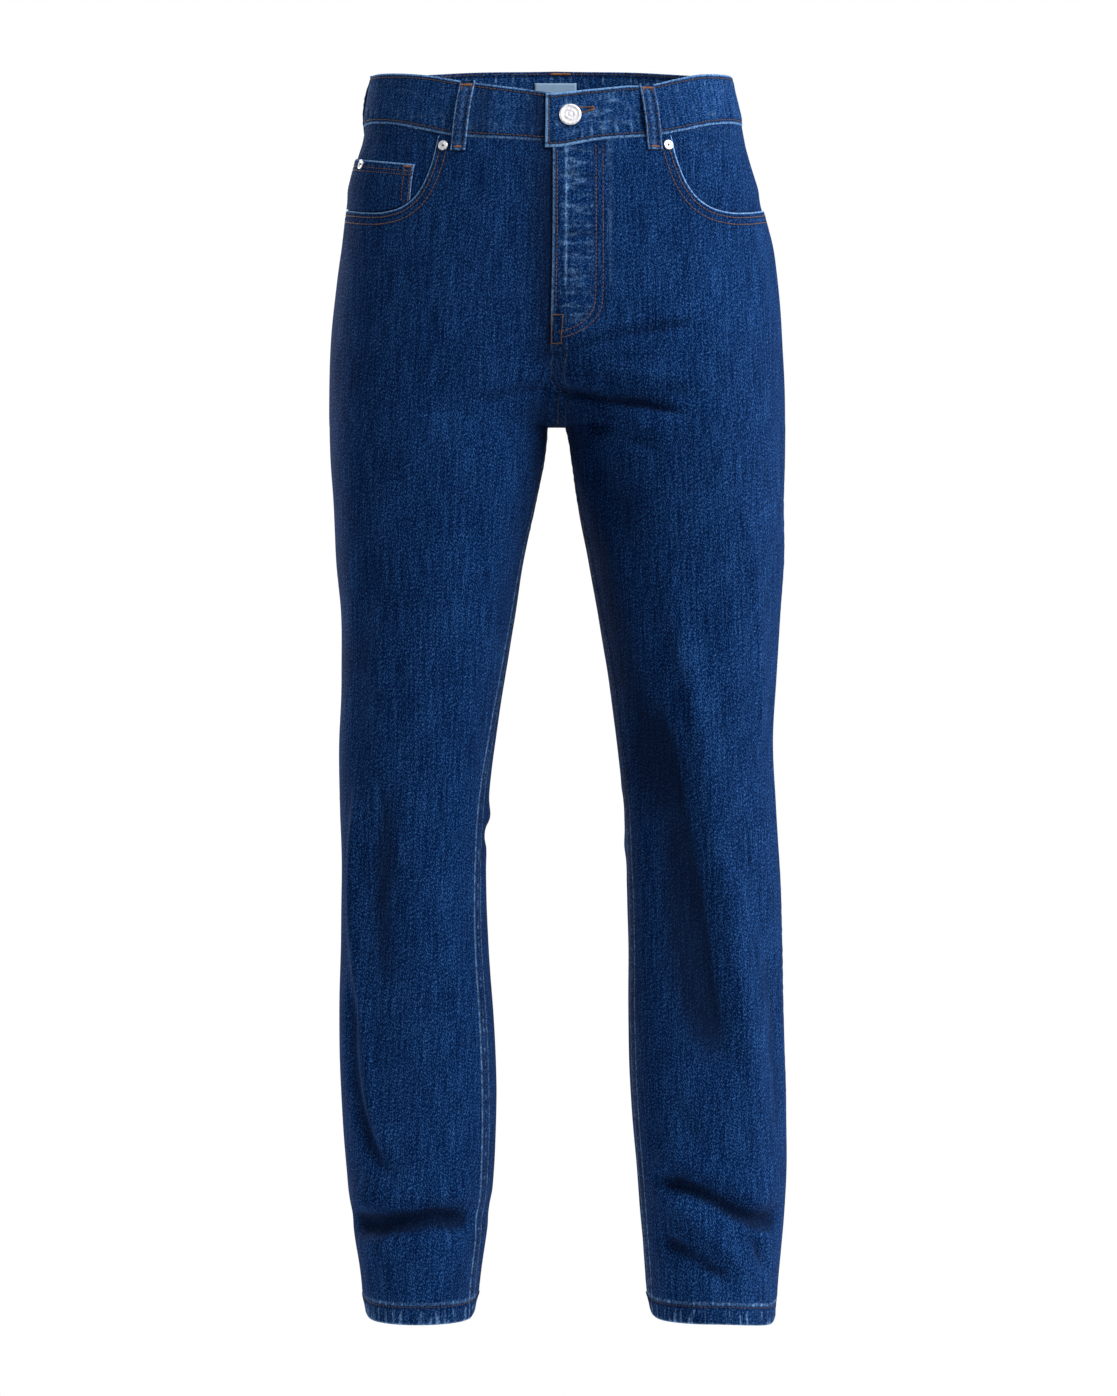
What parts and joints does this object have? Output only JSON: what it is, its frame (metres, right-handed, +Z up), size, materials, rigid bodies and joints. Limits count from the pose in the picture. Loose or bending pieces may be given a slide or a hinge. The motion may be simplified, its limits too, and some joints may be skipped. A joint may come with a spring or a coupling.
{
  "type": "straight leg jeans",
  "caption": "Hollow worn-shape denim trousers with a lapped front, curved front pockets, patch back pockets, belt loops and straight legs.",
  "frame": {"origin": "centre of the waist opening, level with the middle of the waistband at the sides", "axes": "+Z up along the body, towards the waist; +Y towards the wearer's back; +X towards the wearer's left"},
  "size_m": [0.3885, 0.2425, 1.0741],
  "materials": {
    "denim": "rigid cotton indigo twill, matt, with pale worn seam edges",
    "denim_facing": "the same twill where it lines a pocket opening or a hem",
    "button_metal": "silver-coloured, softly polished",
    "rivet_metal": "silver-coloured, softly polished",
    "label_weave": "bare pale blue woven tape"
  },
  "bodies": {
    "root": {"front_left": "denim", "front_right": "denim", "back_left": "denim", "back_right": "denim", "yoke_left": "denim", "yoke_right": "denim", "waistband": "denim", "coin_pocket": "denim", "back_pocket_left": "denim", "back_pocket_right": "denim", "belt_loop_front_left": "denim", "belt_loop_front_right": "denim", "belt_loop_side_left": "denim", "belt_loop_side_right": "denim", "belt_loop_back": "denim", "pocket_facing_left": "denim_facing", "pocket_facing_right": "denim_facing", "hem_left": "denim_facing", "hem_right": "denim_facing", "waist_button": "button_metal", "rivet_left": "rivet_metal", "rivet_right": "rivet_metal", "rivet_coin": "rivet_metal", "label": "label_weave"}
  },
  "joints": []
}
